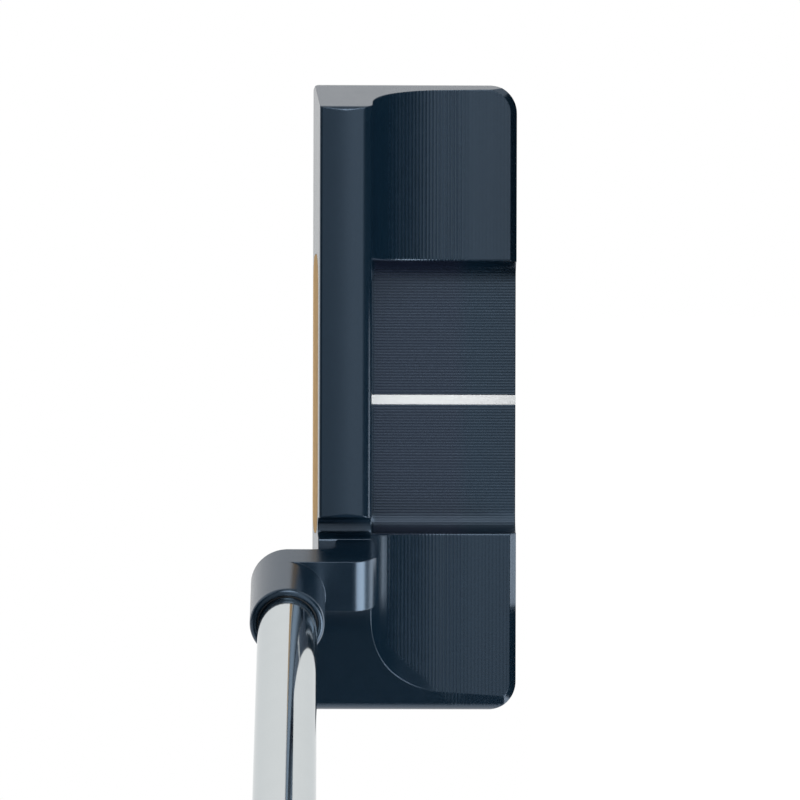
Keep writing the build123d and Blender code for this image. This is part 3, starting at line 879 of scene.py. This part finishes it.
@dataclass
class Studio:
    """A luminous white table under soft lamps, with the camera almost straight above."""

    eye: Colour = (0.0, -0.016, 0.977)
    tilt: float = math.radians(0.81)
    roll: float = math.radians(0.14)
    focal: float = 250.2
    floor_drop: float = 0.4 * MM
    card_gap: float = 9.0 * MM
    card_toe: float = -18.0 * MM
    card_heel: float = 5.0 * MM
    card_low: float = 50.0 * MM
    card_high: float = 230.0 * MM
    flag_back: float = 25.0 * MM
    # toe end, heel end and top of each dark flag
    flags: tuple[tuple[float, float, float], ...] = (
        (-62.0 * MM, -14.0 * MM, 24.0 * MM),
        (-14.0 * MM, 22.0 * MM, 15.0 * MM),
        (36.0 * MM, 58.0 * MM, 17.0 * MM),
    )
    floor_half: float = 20.0
    floor_glow: float = 2.0
    glow_rear: tuple[float, float] = (20.0 * MM, 60.0 * MM)
    glow_heel: tuple[float, float] = (-15.0 * MM, 5.0 * MM)
    walls: float = 0.008
    ceiling: float = 0.42
    strip: float = 1.0
    columns: float = 0.9
    toe_panel: float = 0.45
    dome_radius: float = 16.0
    lamps: tuple[Lamp, ...] = (
        Lamp((0.56, 0.58, 0.58), 15.0, 21.0, 6.4),
        Lamp((-0.64, 0.05, 0.77), 8.0, 18.0, 4.6),
    )

    def build(self) -> None:
        """Make the table, the backdrop, the light and the camera."""
        self._table()
        self._cards()
        self._backdrop()
        self._surroundings()
        self._camera()
        bpy.context.scene.view_settings.view_transform = "Standard"

    def _stage(
        self, name: str, mesh: bmesh.types.BMesh, glow: float = 1.0, glow_back: float = 0.0,
    ) -> bpy.types.Object:
        """Turn a mesh into a self-lit stage piece, seen from its front side only.

        Args:
            name: the piece's name.
            mesh: its shape, which is freed.
            glow: how brightly it shines.
            glow_back: how much brighter it is behind the head's heel half.

        Returns:
            The piece.
        """
        data = bpy.data.meshes.new(name)
        mesh.to_mesh(data)
        mesh.free()
        piece = bpy.data.objects.new(name, data)
        bpy.context.scene.collection.objects.link(piece)
        made, shader = material(name + "_glow")
        x, y = shader.place()[1:3]
        behind = y.ramp(*self.glow_rear) * x.ramp(*self.glow_heel)
        shine = shader.mixed(behind, (glow,) * 3, (glow + glow_back,) * 3)
        glow = shader.node("ShaderNodeEmission", {}, {"Color": shine})
        clear = shader.node("ShaderNodeBsdfTransparent", {}, {})
        back = shader.node("ShaderNodeNewGeometry", {}, {}).outputs["Backfacing"]
        mix = shader.node("ShaderNodeMixShader", {}, {0: back, 1: glow, 2: clear})
        shader.node("ShaderNodeOutputMaterial", {}, {0: mix})
        data.materials.append(made)
        return piece

    def _table(self) -> None:
        """The table is seen and mirrored from above only, so the sole shows from below."""
        mesh = bmesh.new()
        bmesh.ops.create_grid(mesh, x_segments=1, y_segments=1, size=self.floor_half)
        bmesh.ops.translate(mesh, verts=mesh.verts, vec=(0.0, 0.0, -self.floor_drop))
        self._stage("table", mesh, 1.0, self.floor_glow)

    def _cards(self) -> None:
        """A white card close behind the shaft's foot, and black ones close behind the head."""
        self._card(
            "bounce_card", shaft_line(), self.card_gap,
            (self.card_toe, self.card_heel), (self.card_low, self.card_high), 1.0,
        )
        for number, (left, right, top) in enumerate(self.flags):
            across, up = (left, right), (-self.floor_drop, top)
            flag = self._card(
                f"dark_flag_{number}", Matrix.Identity(4), self.flag_back, across, up, 0.0,
            )
            flag.visible_shadow = True

    def _card(
        self, name: str, axes: Matrix, back: float,
        across: tuple[float, float], up: tuple[float, float], glow: float,
    ) -> bpy.types.Object:
        """Stand a card that faces the front and is seen only in mirror images.

        Args:
            name: the card's name.
            axes: the axes it stands in.
            back: how far back it stands.
            across: its extent from toe to heel.
            up: its extent from low to high.
            glow: how brightly it shines.

        Returns:
            The card.
        """
        corners = [
            axes @ Vector((across[i], back, up[j])) for i, j in ((0, 0), (1, 0), (1, 1), (0, 1))
        ]
        mesh = bmesh.new()
        bmesh.ops.create_grid(mesh, x_segments=1, y_segments=1, size=1.0)
        for vert, corner in zip(sorted(mesh.verts, key=lambda v: math.atan2(v.co.y, v.co.x)), corners):
            vert.co = corner
        mesh.faces.ensure_lookup_table()
        mesh.normal_update()
        if mesh.faces[0].normal.y > 0:
            bmesh.ops.reverse_faces(mesh, faces=mesh.faces)
        card = self._stage(name, mesh, glow)
        card.visible_camera = False
        card.visible_diffuse = False
        card.visible_shadow = False
        return card

    def _backdrop(self) -> None:
        """A white dome that only the camera sees, so that every view has a white ground."""
        mesh = bmesh.new()
        bmesh.ops.create_icosphere(mesh, subdivisions=3, radius=self.dome_radius)
        bmesh.ops.reverse_faces(mesh, faces=mesh.faces)
        dome = self._stage("backdrop", mesh)
        dome.visible_diffuse = False
        dome.visible_glossy = False
        dome.visible_shadow = False
        dome.visible_transmission = False

    def _surroundings(self) -> None:
        """Light from all round: a bright ceiling, dark walls and a few lamps."""
        world = bpy.data.worlds.new("studio_light")
        world.use_nodes = True
        bpy.context.scene.world = world
        shader = Shader(world.node_tree)
        direction = shader.node("ShaderNodeTexCoord", {}, {}).outputs["Generated"]
        parts = shader.node("ShaderNodeSeparateXYZ", {}, {0: direction})
        x, y, z = (Value(shader, parts.outputs[axis]) for axis in "XYZ")
        # a soft ceiling over the front, and a strip that rises behind it and fades toward the heel
        ceiling = z.ramp(0.70, 0.90) * y.ramp(0.35, 0.05) * self.ceiling
        strip = y.ramp(-0.10, 0.14) * y.ramp(0.75, 0.14) * (x + y * 0.35).ramp(0.20, -0.04)
        light = self.walls + ceiling + strip * z.ramp(0.45, 0.75) * self.strip
        # upright light columns at the four diagonals, and a low panel beyond the toe
        diagonal = (x * y).magnitude().ramp(0.30, 0.38) * z.within(-0.05, 0.60, 0.1)
        toward_toe = x.ramp(-0.60, -0.80) * y.magnitude().ramp(0.30, 0.15) * z.within(0.0, 0.65, 0.1)
        light = light + diagonal * self.columns + toward_toe * self.toe_panel
        for lamp in self.lamps:
            aim = Vector(lamp.toward).normalized()
            facing = x * aim.x + y * aim.y + z * aim.z
            inner, outer = (math.cos(math.radians(a)) for a in (lamp.inner, lamp.outer))
            light = light + facing.ramp(outer, inner) * lamp.strength
        glow = shader.node("ShaderNodeBackground", {}, {"Color": (1.0, 1.0, 1.0, 1.0), "Strength": light})
        shader.node("ShaderNodeOutputWorld", {}, {0: glow})

    def _camera(self) -> None:
        """Looks down on the head, with the toe at the top and the back of the head on the right."""
        lens = bpy.data.cameras.new("camera")
        lens.lens = self.focal
        lens.sensor_width = 36.0
        lens.clip_start, lens.clip_end = 0.05, 100.0
        camera = bpy.data.objects.new("camera", lens)
        bpy.context.scene.collection.objects.link(camera)
        right = Vector((0.0, math.cos(self.tilt), math.sin(self.tilt)))
        top = Vector((-1.0, 0.0, 0.0))
        away = right.cross(top)
        turn = Matrix((right, top, away)).transposed().to_4x4() @ Matrix.Rotation(self.roll, 4, "Z")
        camera.matrix_world = Matrix.Translation(self.eye) @ turn
        bpy.context.scene.camera = camera


def main() -> None:
    """Build and dress each sub-assembly in order."""
    logging.basicConfig(level=logging.INFO, format="%(name)s: %(message)s")
    Studio().build()
    Head().dress()
    Shaft().dress()
    Grip().dress()


if __name__ == "__main__":
    main()
